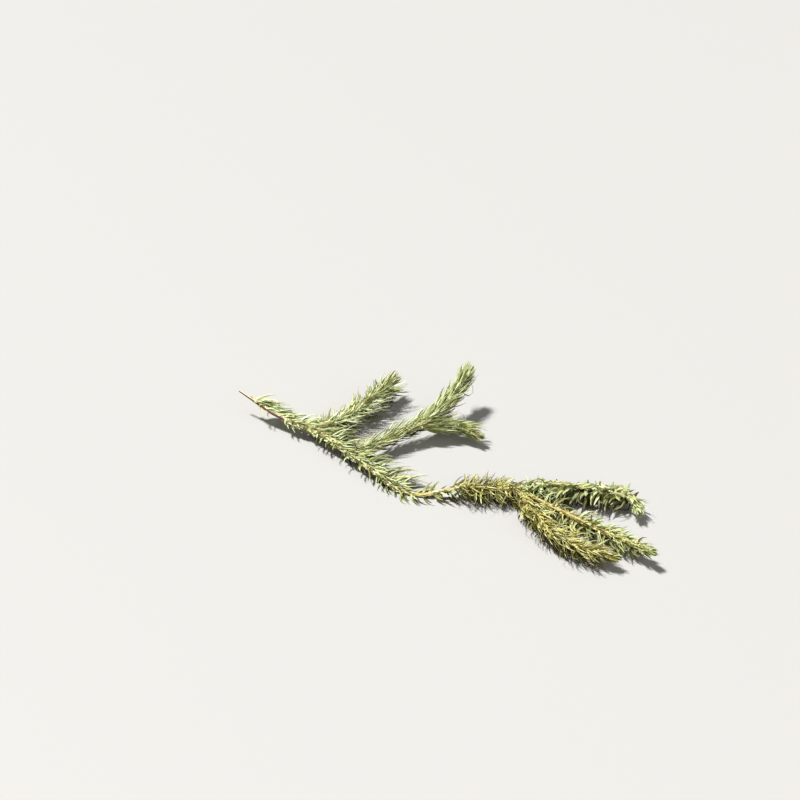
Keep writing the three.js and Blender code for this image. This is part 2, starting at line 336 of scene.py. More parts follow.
class SprigSizes(bpy.types.PropertyGroup):
    """Sizes of the stems and leaves that a user would change."""

    leaves_per_mm: FloatProperty(
        name="Leaves per millimetre",
        description="Leaves that grow on each millimetre of stem",
        default=14, min=1, max=30,
    )
    leaf_width: FloatProperty(
        name="Leaf width",
        description="Width of a leaf where it is widest",
        default=0.48 * MM, min=0.2 * MM, max=2 * MM, precision=5, unit="LENGTH",
    )
    ridge_depth: FloatProperty(
        name="Stem ridge depth",
        description="Height of the ridges that run along a dried stem",
        default=0.07 * MM, min=0, max=0.3 * MM, precision=5, unit="LENGTH",
    )
    ridges: IntProperty(
        name="Stem ridges",
        description="Ridges around a stem",
        default=7, min=3, max=16,
    )
    seed: IntProperty(name="Seed", description="Changes how the leaves stray", default=7, min=0)


def colour_property(name, description, default):
    return FloatVectorProperty(
        name=name, description=description, default=default, subtype="COLOR", size=3, min=0, max=1,
    )


class SprigColours(bpy.types.PropertyGroup):
    """Colours of the dried plant."""

    leaf_pale_sage: colour_property("Pale sage", "Faded leaves near the cut end", (0.47, 0.56, 0.21))
    leaf_sage: colour_property("Sage", "Greener leaves", (0.42, 0.51, 0.15))
    leaf_yellow_green: colour_property("Yellow green", "Leaves near the tips", (0.58, 0.64, 0.24))
    leaf_golden: colour_property("Golden", "Yellowed leaves", (0.62, 0.54, 0.08))
    leaf_base: colour_property("Leaf base", "Swollen leaf bases", (0.78, 0.72, 0.44))
    leaf_foot: colour_property("Leaf foot", "Bases that run down the stem", (0.8, 0.77, 0.45))
    leaf_point: colour_property("Leaf point", "Palest part of a dry leaf", (0.8, 0.87, 0.54))
    golden_foot: colour_property("Golden foot", "Bases of golden leaves", (0.74, 0.62, 0.22))
    golden_point: colour_property("Golden point", "Palest part of golden leaves", (0.82, 0.82, 0.46))
    aged: colour_property("Aged", "Olive that older leaves turn to", (0.48, 0.43, 0.14))
    withered: colour_property("Withered", "Brown, withered leaves", (0.2, 0.12, 0.05))
    stem_straw: colour_property("Stem straw", "Stem up to the bare stretch", (0.76, 0.72, 0.44))
    stem_gold: colour_property("Stem gold", "Yellowed stem from the bare stretch", (0.72, 0.54, 0.16))
    # Red-brown of the old stem's underside: partly its own bark colour, partly painted shade
    bark: colour_property("Bark and shade", "Red-brown underside of the old stem", (0.13, 0.035, 0.015))
    pith: colour_property("Pith", "Cut end of the stem", (0.7, 0.6, 0.4))
    floor: colour_property("Floor", "Plain pale floor", (0.47, 0.46, 0.44))


class StageSettings(bpy.types.PropertyGroup):
    """Light of the small studio around the sprig."""

    key_strength: FloatProperty(
        name="Key light", description="Strength of the main soft light", default=5.4, min=0,
    )
    fill_strength: FloatProperty(
        name="Fill light", description="Strength of the softer front light", default=0.7, min=0,
    )
    sky: FloatProperty(
        name="Sky", description="Strength of the even light from all round", default=0.2, min=0,
    )


MIX_SOCKETS = {"FLOAT": (2, 0), "RGBA": (6, 2)}


class Graph:
    """A node tree with short calls for adding nodes. An input is a value or an output socket."""

    def __init__(self, tree):
        self.tree = tree

    def add(self, kind, inputs=None, **settings):
        node = self.tree.nodes.new(kind)
        for name, value in settings.items():
            setattr(node, name, value)
        for key, value in (inputs or {}).items():
            if isinstance(value, bpy.types.NodeSocket):
                self.tree.links.new(value, node.inputs[key])
            else:
                node.inputs[key].default_value = value
        return node

    def first(self, kind, inputs=None, **settings):
        """The first output of a new node."""
        return self.add(kind, inputs, **settings).outputs[0]

    def combined(self, *values):
        return self.first("ShaderNodeCombineXYZ", dict(enumerate(values)))

    def parts(self, vector):
        return self.add("ShaderNodeSeparateXYZ", {0: vector}).outputs

    def given(self):
        return self.add("NodeGroupInput").outputs

    def math(self, operation, *values):
        return self.first("ShaderNodeMath", dict(enumerate(values)), operation=operation)

    def times(self, a, b):
        return self.math("MULTIPLY", a, b)

    def plus(self, a, b):
        return self.math("ADD", a, b)

    def minus(self, a, b):
        return self.math("SUBTRACT", a, b)

    def vector(self, operation, *values):
        node = self.add("ShaderNodeVectorMath", dict(enumerate(values)), operation=operation)
        return node.outputs["Vector"]

    def scaled(self, vector, amount):
        node = self.add("ShaderNodeVectorMath", {0: vector, "Scale": amount}, operation="SCALE")
        return node.outputs["Vector"]

    def mix(self, share, a, b, kind="FLOAT", blend="MIX"):
        first, out = MIX_SOCKETS[kind]
        inputs = {0: share, first: a, first + 1: b}
        return self.add("ShaderNodeMix", inputs, data_type=kind, blend_type=blend).outputs[out]

    def blend(self, share, a, b):
        """A colour between two colours."""
        return self.mix(share, a, b, "RGBA")

    def tinted(self, colour, tint):
        return self.mix(1.0, colour, tint, "RGBA", "MULTIPLY")

    def smooth(self, value, low, high, to_low=0.0, to_high=1.0):
        inputs = {0: value, 1: low, 2: high, 3: to_low, 4: to_high}
        return self.first("ShaderNodeMapRange", inputs, interpolation_type="SMOOTHSTEP")

    def stretch(self, given):
        """The part of the route between its start and end."""
        inputs = {"Curve": given["Route"], 4: given["Start"], 5: given["End"]}
        return self.first("GeometryNodeTrimCurve", inputs, mode="LENGTH")

    def named(self, name, kind):
        node = self.add("GeometryNodeInputNamedAttribute", {"Name": name}, data_type=kind)
        return node.outputs["Attribute"]

    def attribute(self, name, output):
        return self.add("ShaderNodeAttribute", attribute_name=name).outputs[output]

    def facing(self, vector, way):
        """How much a direction points another way, from -1 to 1."""
        node = self.add("ShaderNodeVectorMath", {0: vector, 1: way}, operation="DOT_PRODUCT")
        return node.outputs["Value"]

    def store(self, geometry, name, value, kind):
        """Geometry whose points hold a value under a name."""
        inputs = {"Geometry": geometry, "Name": name, "Value": value}
        node = self.add("GeometryNodeStoreNamedAttribute", inputs, data_type=kind, domain="POINT")
        return node.outputs["Geometry"]

    def chance(self, low, high, seed):
        """A different value from low to high for each point."""
        inputs = {2: low, 3: high, "Seed": seed}
        return self.add("FunctionNodeRandomValue", inputs, data_type="FLOAT").outputs[1]


SOCKET_KINDS = {float: "Float", int: "Int", tuple: "Color"}


def new_tree(name, kind, inputs, output, output_kind):
    """An empty tree with one output, and inputs that each have a default or, as text, a kind."""
    tree = bpy.data.node_groups.new(name, kind)
    for title, value in inputs.items():
        socket_kind = value if isinstance(value, str) else SOCKET_KINDS[type(value)]
        socket = tree.interface.new_socket(
            title, in_out="INPUT", socket_type=f"NodeSocket{socket_kind}",
        )
        if socket_kind != value:
            socket.default_value = value
    tree.interface.new_socket(output, in_out="OUTPUT", socket_type=f"NodeSocket{output_kind}")
    return tree


def grown(host, tree, values, name):
    """The mesh that a tree grows on a host object, as a new plain object. The host is removed."""
    grow = host.modifiers.new(tree.name, "NODES")
    grow.node_group = tree
    for item in tree.interface.items_tree:
        if item.in_out == "INPUT" and item.name in values:
            value = values[item.name]
            is_float = item.socket_type == "NodeSocketFloat"
            grow[item.identifier] = float(value) if is_float else value
    graph = bpy.context.evaluated_depsgraph_get()
    mesh = bpy.data.meshes.new_from_object(host.evaluated_get(graph))
    bpy.data.objects.remove(host)
    if not mesh.polygons:
        raise RuntimeError(f"{name} grew no faces")
    mesh.name = name
    made = bpy.data.objects.new(name, mesh)
    bpy.context.scene.collection.objects.link(made)
    return made


# Shape of one leaf: places and widths are shares of its free length and its width
FOOT = 0.26
FOOT_LEAN = math.radians(40)
LINE_STEPS = 63
RING_SHARES = (-0.26, -0.12, 0, 0.12, 0.26, 0.42, 0.6, 0.78, 0.92)
FOOT_WIDTH = 0.8
POINT_WIDTH = 0.08
FOOT_BEND = 0.1
CURL_POWER = 1.2
CURL_MIDDLE = 0.45
SWAY_WAVES = 4
STRAP_END = 0.25
TAPER_POWER = 1.4
MODEL_WIDTH = 0.1
RIB_RISE = 0.08
KEEL_DROP = 0.12
TURNED_BY = 0.3
PLAIN_BLADES = 7
TURNED_BLADES = 9
CURLED_BLADES = 7
BLADE_SEED = 11


@dataclass
class Blade:
    """How one dried leaf is bent, in degrees, how wide it is and how deep its fold is.

    curl bends it towards its upper face and sway to its sides. turn is how far it turns over
    near its foot, and twist how far it goes on twisting up to its point.
    """

    curl: float
    sway: float
    turn: float
    twist: float
    width: float
    fold: float


def plain_blade(chance, place):
    return Blade(
        curl=lerp(12, 100, place) * chance.uniform(0.9, 1.1), sway=chance.uniform(-14, 14),
        turn=0, twist=chance.uniform(-50, 50), width=chance.uniform(0.8, 1.2),
        fold=chance.uniform(0.4, 0.95),
    )


def turned_blade(chance, place):
    """A leaf from the side of the stem, turned over so that its face shows from above."""
    return Blade(
        curl=lerp(12, 130, place) * chance.uniform(0.9, 1.1), sway=chance.uniform(-12, 12),
        turn=chance.uniform(60, 105) * chance.choice((1, -1)), twist=chance.uniform(-45, 45),
        width=chance.uniform(0.8, 1.25), fold=chance.uniform(0.3, 0.9),
    )


def curled_blade(chance, place):
    return Blade(
        curl=lerp(120, 270, place) * chance.choice((1, 1, -0.6)),
        sway=chance.uniform(-50, 50), turn=chance.uniform(-90, 90),
        twist=chance.uniform(-160, 160), width=chance.uniform(0.45, 0.75),
        fold=chance.uniform(0.3, 0.7),
    )


def leaf_line(blade):
    """Places and headings along a leaf, from the foot on the stem through 0 to the point."""
    place = Vector((0, 0, 0))
    line = []
    for k in range(LINE_STEPS + 1):
        t = lerp(-FOOT, 1, k / LINE_STEPS)
        free = max(t, 0)
        bend = min(max(t / FOOT_BEND + 0.5, 0), 1)
        spread = math.radians(blade.curl) * (free**CURL_POWER - CURL_MIDDLE)
        pitch = lerp(FOOT_LEAN, spread, bend)
        yaw = math.radians(blade.sway) * math.sin(SWAY_WAVES * free)
        ahead = Vector((math.cos(pitch) * math.cos(yaw), math.sin(yaw), math.sin(pitch)))
        line.append((t, place.copy(), ahead.normalized()))
        place += ahead * (1 + FOOT) / LINE_STEPS
    origin = min(line, key=lambda row: abs(row[0]))[1].copy()
    return [(t, point - origin, ahead) for t, point, ahead in line]


def half_width(t):
    if t < 0:
        return lerp(FOOT_WIDTH, 1, (t + FOOT) / FOOT) / 2
    tapered = max((t - STRAP_END) / (1 - STRAP_END), 0) ** TAPER_POWER
    return lerp(1, POINT_WIDTH, tapered) / 2


def blade_object(name, blade):
    """One closed leaf of unit length: rings of left edge, upper rib, right edge and keel.

    Its points lie on its centre line. blade_side says how far out each of them belongs, for a
    leaf of unit width, so that a leaf keeps its width whatever its length.
    """
    work = bmesh.new()
    spread = work.loops.layers.uv.new("leaf_map")
    reach = work.verts.layers.float_vector.new("blade_side")
    line = leaf_line(blade)
    rings = []
    marks = {}
    for share in RING_SHARES:
        t, centre, ahead = min(line, key=lambda row: abs(row[0] - share))
        turned = min(max(t, 0) / TURNED_BY, 1)
        turn = math.radians(blade.turn * turned + blade.twist * max(t, 0))
        flat_side = (Vector((0, 1, 0)) - ahead * ahead.y).normalized()
        above = ahead.cross(flat_side)
        side = flat_side * math.cos(turn) + above * math.sin(turn)
        above = ahead.cross(side)
        half = half_width(t) * blade.width
        edge_rise = above * half * blade.fold
        offsets = [
            side * half + edge_rise,
            above * half * RIB_RISE,
            -side * half + edge_rise,
            above * half * -2 * KEEL_DROP,
        ]
        ring = [work.verts.new(centre + offset * MODEL_WIDTH) for offset in offsets]
        for vert, offset, across in zip(ring, offsets, (0, 0.5, 1, 0.5)):
            vert[reach] = offset
            marks[vert] = (centre, ((t + FOOT) / (1 + FOOT), across))
        rings.append(ring)
    point = work.verts.new(line[-1][1])
    marks[point] = (point.co.copy(), (1, 0.5))
    for back, front in zip(rings, rings[1:]):
        for j in range(4):
            work.faces.new((back[j], back[j - 3], front[j - 3], front[j]))
        for rear_vert, front_vert in zip(back, front):
            work.edges.get((rear_vert, front_vert)).smooth = False
    for j in range(4):
        work.faces.new((rings[-1][j], rings[-1][j - 3], point))
    work.faces.new(rings[0])
    bmesh.ops.recalc_face_normals(work, faces=work.faces)
    for face in work.faces:
        face.smooth = True
        for loop in face.loops:
            loop[spread].uv = marks[loop.vert][1]
    for vert, (centre, _) in marks.items():
        vert.co = centre
    mesh = bpy.data.meshes.new(name)
    work.to_mesh(mesh)
    work.free()
    return bpy.data.objects.new(name, mesh)


def blade_collection():
    """The leaves that every coat picks from: plain, turned and curled, each more and more bent."""
    chance = random.Random(BLADE_SEED)
    blades = bpy.data.collections.new("Blades")
    kinds = {plain_blade: PLAIN_BLADES, turned_blade: TURNED_BLADES, curled_blade: CURLED_BLADES}
    for kind, count in kinds.items():
        for k in range(count):
            blade = kind(chance, k / (count - 1))
            name = f"blade_{len(blades.objects):02d}"
            blades.objects.link(blade_object(name, blade))
    return blades


# The growth of a coat of leaves
GOLDEN_TURN = math.radians(137.508)
PRESS_HEIGHT = 0.25 * MM
LEAF_CLEARANCE = 0.3 * MM
PRESSED_ANGLE = math.radians(16)
SEATED = 1.12
CURLED_LENGTH = 1.3
REAR_CURLED = 0.1

SEED_STEP = 37.0
SPIRAL_STRAY = 0.25
SEAT_STRAY = 0.25 * MM
UPPER_SHARES = (0.6, 0.95)
UPPER_SHORTER = 0.4
LEAF_LENGTHS = (0.7, 1.1)
LEAF_WIDTHS = (0.8, 1.15)
ROLL_SHARE = 2.4
NOD_SHARE = 0.7
SWING_SHARE = 1.2
SIDE_RANGE = (-0.4, 0.4)
TOP_RANGE = (-0.2, 0.3)
UNDER_RANGE = (-0.9, -0.3)
SIDEWAYS_FROM = 0.5
SIDEWAYS_STRAY = 0.15

COAT_INPUTS = {
    "Route": "Geometry", "Blades": "Collection", "Start": 0.0, "End": 0.01, "Leaf Count": 100,
    "Left Kept": 1.0, "Right Kept": 1.0, "Top Kept": 1.0, "Under Kept": 1.0, "Under Shade": 1.0,
    "Left Length": 0.004, "Right Length": 0.004, "End Length": 1.0, "Leaf Width": 0.0007,
    "First Angle": 0.7, "Last Angle": 0.7, "Flatness": 0.4, "Top Pressed": 0.5,
    "Looseness": 0.15, "Bend Range": 1.0, "Curled Share": 0.1, "First Radius": 0.0006,
    "Last Radius": 0.0005, "Seed": 0, "Material": "Material",
}


def leaf_coat_tree():
    """Leaves in a tight spiral around a stretch of stem, none of them below the ground."""
    tree = new_tree("Leaf coat", "GeometryNodeTree", COAT_INPUTS, "Leaves", "Geometry")
    g = Graph(tree)
    given = g.given()
    seeds = iter(range(100))

    def chance(low, high):
        return g.chance(low, high, g.plus(given["Seed"], next(seeds) * SEED_STEP))

    stretch = g.stretch(given)
    spots = g.add("GeometryNodeCurveToPoints", {"Curve": stretch, "Count": given["Leaf Count"]})
    ahead = spots.outputs["Tangent"]
    index = g.first("GeometryNodeInputIndex")
    along = g.math("DIVIDE", index, g.minus(given["Leaf Count"], 1.0))

    # Directions around the stem, counted from its left side over the top
    turn = g.plus(g.times(index, GOLDEN_TURN), chance(-SPIRAL_STRAY, SPIRAL_STRAY))
    left_share = g.math("COSINE", turn)
    up_share = g.math("SINE", turn)
    left = g.vector("NORMALIZE", g.vector("CROSS_PRODUCT", (0, 0, 1), ahead))
    above = g.vector("CROSS_PRODUCT", ahead, left)
    seat = g.vector("ADD", g.scaled(left, left_share), g.scaled(above, up_share))
    lifted = g.times(up_share, g.minus(1.0, given["Flatness"]))
    away = g.vector(
        "NORMALIZE", g.vector("ADD", g.scaled(left, left_share), g.scaled(above, lifted)),
    )

    # Each leaf starts on the skin of the stem
    radius = g.mix(along, given["First Radius"], given["Last Radius"])
    stray = g.scaled(ahead, chance(-SEAT_STRAY, SEAT_STRAY))
    offset = g.vector("ADD", g.scaled(seat, g.times(radius, SEATED)), stray)
    spots = g.add("GeometryNodeSetPosition", {"Geometry": spots.outputs["Points"], "Offset": offset})

    # Angle between leaf and stem: upper leaves lie closer to it
    angle = g.mix(along, given["First Angle"], given["Last Angle"])
    looseness = given["Looseness"]
    angle = g.plus(angle, g.times(chance(-1.0, 1.0), looseness))
    upper = g.times(given["Top Pressed"], g.smooth(up_share, *UPPER_SHARES))
    angle = g.mix(upper, angle, PRESSED_ANGLE)
    cosine = g.math("COSINE", angle)
    sine = g.math("SINE", angle)
    heading = g.vector("ADD", g.scaled(ahead, cosine), g.scaled(away, sine))
    face = g.vector("SUBTRACT", g.scaled(ahead, sine), g.scaled(away, cosine))

    # Length by side and by place along the stem
    side = g.smooth(left_share, -1.0, 1.0)
    length = g.mix(side, given["Right Length"], given["Left Length"])
    length = g.times(length, g.mix(along, 1.0, given["End Length"]))
    length = g.times(length, chance(*LEAF_LENGTHS))
    shorter = g.times(upper, UPPER_SHORTER)
    length = g.times(length, g.minus(1.0, shorter))
    curled_share = g.times(given["Curled Share"], g.mix(side, 1.0, REAR_CURLED))
    curled = g.math("LESS_THAN", chance(0.0, 1.0), curled_share)
    length = g.times(length, g.mix(curled, 1.0, CURLED_LENGTH))

    # A leaf that would reach into the ground lies on it
    height = g.parts(g.first("GeometryNodeInputPosition"))[2]
    parts = g.parts(heading)
    lowest = g.math("DIVIDE", g.minus(LEAF_CLEARANCE, height), length)
    heading = g.combined(parts[0], parts[1], g.math("MAXIMUM", parts[2], lowest))
    rotation = g.first(
        "FunctionNodeAxesToRotation", {0: heading, 1: face}, primary_axis="X", secondary_axis="Z",
    )
    roll = g.times(chance(-ROLL_SHARE, ROLL_SHARE), looseness)
    nod = g.times(chance(-NOD_SHARE, NOD_SHARE), looseness)
    swing = g.times(chance(-SWING_SHARE, SWING_SHARE), looseness)
    stir = g.combined(roll, nod, swing)
    rotation = g.first(
        "FunctionNodeRotateRotation", {0: rotation, 1: stir}, rotation_space="LOCAL",
    )

    # Which leaf, how wide, how it has aged, and how much painted shade it gets under the stem
    straight = g.times(chance(0.0, 0.999), given["Bend Range"])
    plain_pick = g.times(straight, float(PLAIN_BLADES))
    turned_pick = g.math("MULTIPLY_ADD", straight, float(TURNED_BLADES), float(PLAIN_BLADES))
    all_blades = PLAIN_BLADES + TURNED_BLADES + CURLED_BLADES
    curled_pick = chance(PLAIN_BLADES + TURNED_BLADES, all_blades - 0.01)
    sideways = g.plus(g.math("ABSOLUTE", left_share), chance(-SIDEWAYS_STRAY, SIDEWAYS_STRAY))
    pick = g.mix(g.math("GREATER_THAN", sideways, SIDEWAYS_FROM), plain_pick, turned_pick)
    pick = g.math("FLOOR", g.mix(curled, pick, curled_pick))
    wide = g.times(given["Leaf Width"], chance(*LEAF_WIDTHS))
    # Painted shade: leaves seated under the stem are marked to be darkened in colour, as far as Under
    # Shade says
    light = g.mix(given["Under Shade"], 1.0, up_share)
    life_and_shade = g.combined(chance(0.0, 1.0), chance(0.0, 1.0), light)
    spots = g.store(spots.outputs[0], "leaf_life", life_and_shade, "FLOAT_VECTOR")
    spots = g.store(spots, "leaf_wide", wide, "FLOAT")
    spots = g.store(spots, "leaf_turn", rotation, "QUATERNION")
    kept = g.mix(g.smooth(left_share, *SIDE_RANGE), given["Right Kept"], given["Left Kept"])
    kept = g.times(kept, g.smooth(up_share, *TOP_RANGE, 1.0, given["Top Kept"]))
    kept = g.times(kept, g.smooth(up_share, *UNDER_RANGE, given["Under Kept"], 1.0))
    kept = g.math("LESS_THAN", chance(0.0, 1.0), kept)
    blades = g.first(
        "GeometryNodeCollectionInfo",
        {"Collection": given["Blades"], "Separate Children": True, "Reset Children": True},
    )
    leaves = g.first(
        "GeometryNodeInstanceOnPoints",
        {
            "Points": spots, "Selection": kept, "Instance": blades, "Pick Instance": True,
            "Instance Index": pick, "Rotation": rotation, "Scale": length,
        },
    )
    leaves = g.first("GeometryNodeRealizeInstances", {0: leaves})

    # Each leaf widens from its centre line, whatever its length
    reach = g.first(
        "FunctionNodeRotateVector",
        {0: g.named("blade_side", "FLOAT_VECTOR"), 1: g.named("leaf_turn", "QUATERNION")},
    )
    widened = g.scaled(reach, g.named("leaf_wide", "FLOAT"))
    leaves = g.first("GeometryNodeSetPosition", {"Geometry": leaves, "Offset": widened})
    for name in ("blade_side", "leaf_turn", "leaf_wide"):
        leaves = g.first("GeometryNodeRemoveAttribute", {"Geometry": leaves, "Name": name})

    # What still reaches the ground is pressed against it
    x, y, z = g.parts(g.first("GeometryNodeInputPosition"))
    share = g.minus(g.math("DIVIDE", z, PRESS_HEIGHT), 1.0)
    pressed = g.times(PRESS_HEIGHT, g.math("EXPONENT", share))
    z = g.mix(g.math("LESS_THAN", z, PRESS_HEIGHT), z, pressed)
    landed = g.combined(x, y, z)
    leaves = g.first("GeometryNodeSetPosition", {"Geometry": leaves, "Position": landed})
    leaves = g.first("GeometryNodeSetMaterial", {"Geometry": leaves, "Material": given["Material"]})
    g.add("NodeGroupOutput", {0: leaves})
    return tree


STEM_INPUTS = {
    "Route": "Geometry", "Start": 0.0, "End": 0.05, "First Radius": 0.0008,
    "Last Radius": 0.0005, "Worn Length": 0.01, "Worn Share": 1.0, "Ridges": 7,
    "Ridge Depth": 0.00007, "Material": "Material",
}
STEM_SIDES = 28
STEM_RING_STEP = 0.3 * MM
RIDGE_TURNS_PER_M = 15.0
LUMP_SCALE = 900.0
LUMP_DEPTH = 0.16
CREASE = math.radians(50)


def stem_tree():
    """A tapered stem with slightly twisted ridges and a few lumps, closed at both ends."""
    tree = new_tree("Ridged stem", "GeometryNodeTree", STEM_INPUTS, "Stem", "Geometry")
    g = Graph(tree)
    given = g.given()
    line = g.first(
        "GeometryNodeResampleCurve",
        {"Curve": g.stretch(given), "Length": STEM_RING_STEP},
        mode="LENGTH",
    )
    spot = g.add("GeometryNodeSplineParameter").outputs
    line = g.store(line, "stem_along", spot["Length"], "FLOAT")
    round_line = g.first(
        "GeometryNodeCurvePrimitiveCircle", {"Resolution": STEM_SIDES, "Radius": 1.0},
    )
    turn = g.times(spot["Factor"], math.tau)
    around = g.combined(g.math("COSINE", turn), g.math("SINE", turn))
    round_line = g.store(round_line, "stem_around", around, "FLOAT_VECTOR")
    radius = g.mix(spot["Factor"], given["First Radius"], given["Last Radius"])
    worn = g.smooth(spot["Length"], 0.0, given["Worn Length"], given["Worn Share"], 1.0)
    line = g.store(line, "stem_radius", g.times(radius, worn), "FLOAT")
    radius = g.named("stem_radius", "FLOAT")
    skin = g.first(
        "GeometryNodeCurveToMesh",
        {"Curve": line, "Profile Curve": round_line, "Scale": radius, "Fill Caps": True},
    )
    sides = g.parts(g.named("stem_around", "FLOAT_VECTOR"))
    turn = g.math("ARCTAN2", sides[1], sides[0])
    twist = g.times(g.named("stem_along", "FLOAT"), RIDGE_TURNS_PER_M * math.tau)
    ridge = g.math("COSINE", g.times(g.plus(turn, twist), given["Ridges"]))
    lump = g.first("ShaderNodeTexNoise", {"Scale": LUMP_SCALE, "Detail": 2.0})
    lump = g.times(g.minus(lump, 0.5), g.times(radius, LUMP_DEPTH))
    share = g.math("DIVIDE", radius, given["First Radius"])
    depth = g.times(given["Ridge Depth"], share)
    rise = g.plus(g.times(ridge, depth), lump)
    skin = g.store(skin, "stem_outward", g.first("GeometryNodeInputNormal"), "FLOAT_VECTOR")
    outward = g.named("stem_outward", "FLOAT_VECTOR")
    skin = g.first("GeometryNodeSetPosition", {"Geometry": skin, "Offset": g.scaled(outward, rise)})
    crease = g.math("GREATER_THAN", g.first("GeometryNodeInputMeshEdgeAngle"), CREASE)
    skin = g.first("GeometryNodeSetShadeSmooth", {0: skin})
    skin = g.first(
        "GeometryNodeSetShadeSmooth",
        {"Geometry": skin, "Selection": crease, "Shade Smooth": False},
        domain="EDGE",
    )
    skin = g.first("GeometryNodeSetMaterial", {"Geometry": skin, "Material": given["Material"]})
    g.add("NodeGroupOutput", {0: skin})
    return tree


def rgba(colour):
    return (*colour, 1)


def mottle_group():
    """Uneven fading of dried plant matter, from 0 to 1."""
    inputs = {"Scale": 300.0, "Contrast": 1.0}
    tree = new_tree("Dry mottle", "ShaderNodeTree", inputs, "Mottle", "Float")
    g = Graph(tree)
    given = g.given()
    place = g.add("ShaderNodeTexCoord").outputs["Object"]
    noise = g.first(
        "ShaderNodeTexNoise",
        {"Vector": place, "Scale": given["Scale"], "Detail": 4.0, "Roughness": 0.6},
    )
    half = g.times(0.25, given["Contrast"])
    low = g.minus(0.5, half)
    high = g.plus(0.5, half)
    g.add("NodeGroupOutput", {0: g.smooth(noise, low, high)})
    return tree


def wrinkle_group():
    """Fine lengthwise wrinkles as a height: Across runs from side to side, Along lengthwise."""
    inputs = {"Across": 0.0, "Along": 0.0, "Count": 5.0}
    tree = new_tree("Dry wrinkles", "ShaderNodeTree", inputs, "Height", "Float")
    g = Graph(tree)
    given = g.given()
    across = g.times(given["Across"], given["Count"])
    place = g.combined(across, given["Along"])
    noise = g.first("ShaderNodeTexNoise", {"Vector": place, "Scale": 2.0, "Detail": 3.0})
    g.add("NodeGroupOutput", {0: noise})
    return tree


# Darker leaves come from their own random tone; the edge and underside tints are painted shade
DARKER_TINT = (0.24, 0.28, 0.14, 1)
PAINTED_MARGIN_SHADE_TINT = (0.5, 0.55, 0.4, 1)
PAINTED_UNDERSIDE_SHADE_TINT = (0.16, 0.15, 0.05, 1)
DARKER_TONES = (0.18, 0.46)
PALER_TONES = (0.46, 0.68)
PAINTED_MARGIN_SHADE_RANGE = (0.2, 0.48)
FOOT_ENDS = (0.12, 0.55)
POINT_STARTS = (0.84, 1.08)
AGES = (0.3, 0.95)
WITHERING_STEP = 0.02
PAINTED_UNDERSIDE_SHADE_RANGE = (-0.6, 0.2)
UNEVEN_EDGE = 0.15
PALER_SHARE = 0.7
MOTTLED_MOST = 0.35
POINT_MOST = 0.7
AGED_MOST = 0.55
WITHERED_MOST = 0.85


def withering_and_shade_group():
    """Colour of a dried leaf from its foot to its point, by its own tone and age, with painted shade
    on its margins and on leaves seated under the stem.
    """
    inputs = {
        "Along": 0.0, "Across": 0.5, "Tone": 0.5, "Age": 0.0, "Side": 0.0, "Mottle": 0.5,
        "Body": (0.3, 0.3, 0.2, 1), "Foot": (0.6, 0.5, 0.3, 1), "Point": (0.6, 0.6, 0.4, 1),
        "Aged": (0.5, 0.4, 0.15, 1), "Withered": (0.2, 0.1, 0.05, 1), "Withered Share": 0.05,
    }
    tree = new_tree("Withering and painted shade", "ShaderNodeTree", inputs, "Color", "Color")
    g = Graph(tree)
    given = g.given()
    darker = g.tinted(given["Body"], DARKER_TINT)
    paler = g.blend(PALER_SHARE, given["Body"], given["Point"])
    body = g.blend(g.smooth(given["Tone"], *DARKER_TONES), darker, given["Body"])
    body = g.blend(g.smooth(given["Tone"], *PALER_TONES), body, paler)
    body = g.blend(g.times(given["Mottle"], MOTTLED_MOST), body, paler)
    # Painted shade: the margins of each leaf are darkened as if shaded by its fold
    margin = g.math("ABSOLUTE", g.minus(given["Across"], 0.5))
    margin_shaded = g.tinted(body, PAINTED_MARGIN_SHADE_TINT)
    body = g.blend(g.smooth(margin, *PAINTED_MARGIN_SHADE_RANGE), body, margin_shaded)
    edge = g.plus(given["Along"], g.times(given["Mottle"], UNEVEN_EDGE))
    leaf = g.blend(g.smooth(edge, *FOOT_ENDS), given["Foot"], body)
    leaf = g.blend(g.smooth(edge, *POINT_STARTS, 0.0, POINT_MOST), leaf, given["Point"])
    aged = g.smooth(given["Age"], *AGES, 0.0, AGED_MOST)
    leaf = g.blend(aged, leaf, given["Aged"])
    first = g.minus(1.0, given["Withered Share"])
    last = g.plus(first, WITHERING_STEP)
    old = g.smooth(given["Age"], first, last, 0.0, WITHERED_MOST)
    leaf = g.blend(old, leaf, given["Withered"])
    # Painted shade: the colour of leaves seated under the stem is darkened
    shaded = g.tinted(leaf, PAINTED_UNDERSIDE_SHADE_TINT)
    leaf = g.blend(g.smooth(given["Side"], *PAINTED_UNDERSIDE_SHADE_RANGE), shaded, leaf)
    g.add("NodeGroupOutput", {0: leaf})
    return tree


MATERIAL_NAMES = {
    "stem_straw": "Dried stem",
    "leaf_pale_sage": "Faded sage leaf",
    "leaf_sage": "Sage leaf",
    "leaf_yellow_green": "Yellow-green leaf",
    "leaf_golden": "Golden leaf",
    "leaf_base": "Cream leaf base",
}
LEAF_FEET = {"leaf_golden": "golden_foot", "leaf_yellow_green": "golden_foot"}
LEAF_POINTS = {"leaf_golden": "golden_point"}
LEAF_SHEEN = (1, 0.98, 0.8, 1)
LEAF_WITHERED_SHARES = {
    "leaf_pale_sage": 0.03,
    "leaf_sage": 0.03,
    "leaf_yellow_green": 0.04,
    "leaf_golden": 0.1,
    "leaf_base": 0.02,
}


def new_material(name):
    material = bpy.data.materials.new(name)
    material.use_nodes = True
    material.node_tree.nodes.clear()
    return material, Graph(material.node_tree)


def group_node(g, tree, inputs):
    return g.first("ShaderNodeGroup", inputs, node_tree=tree)


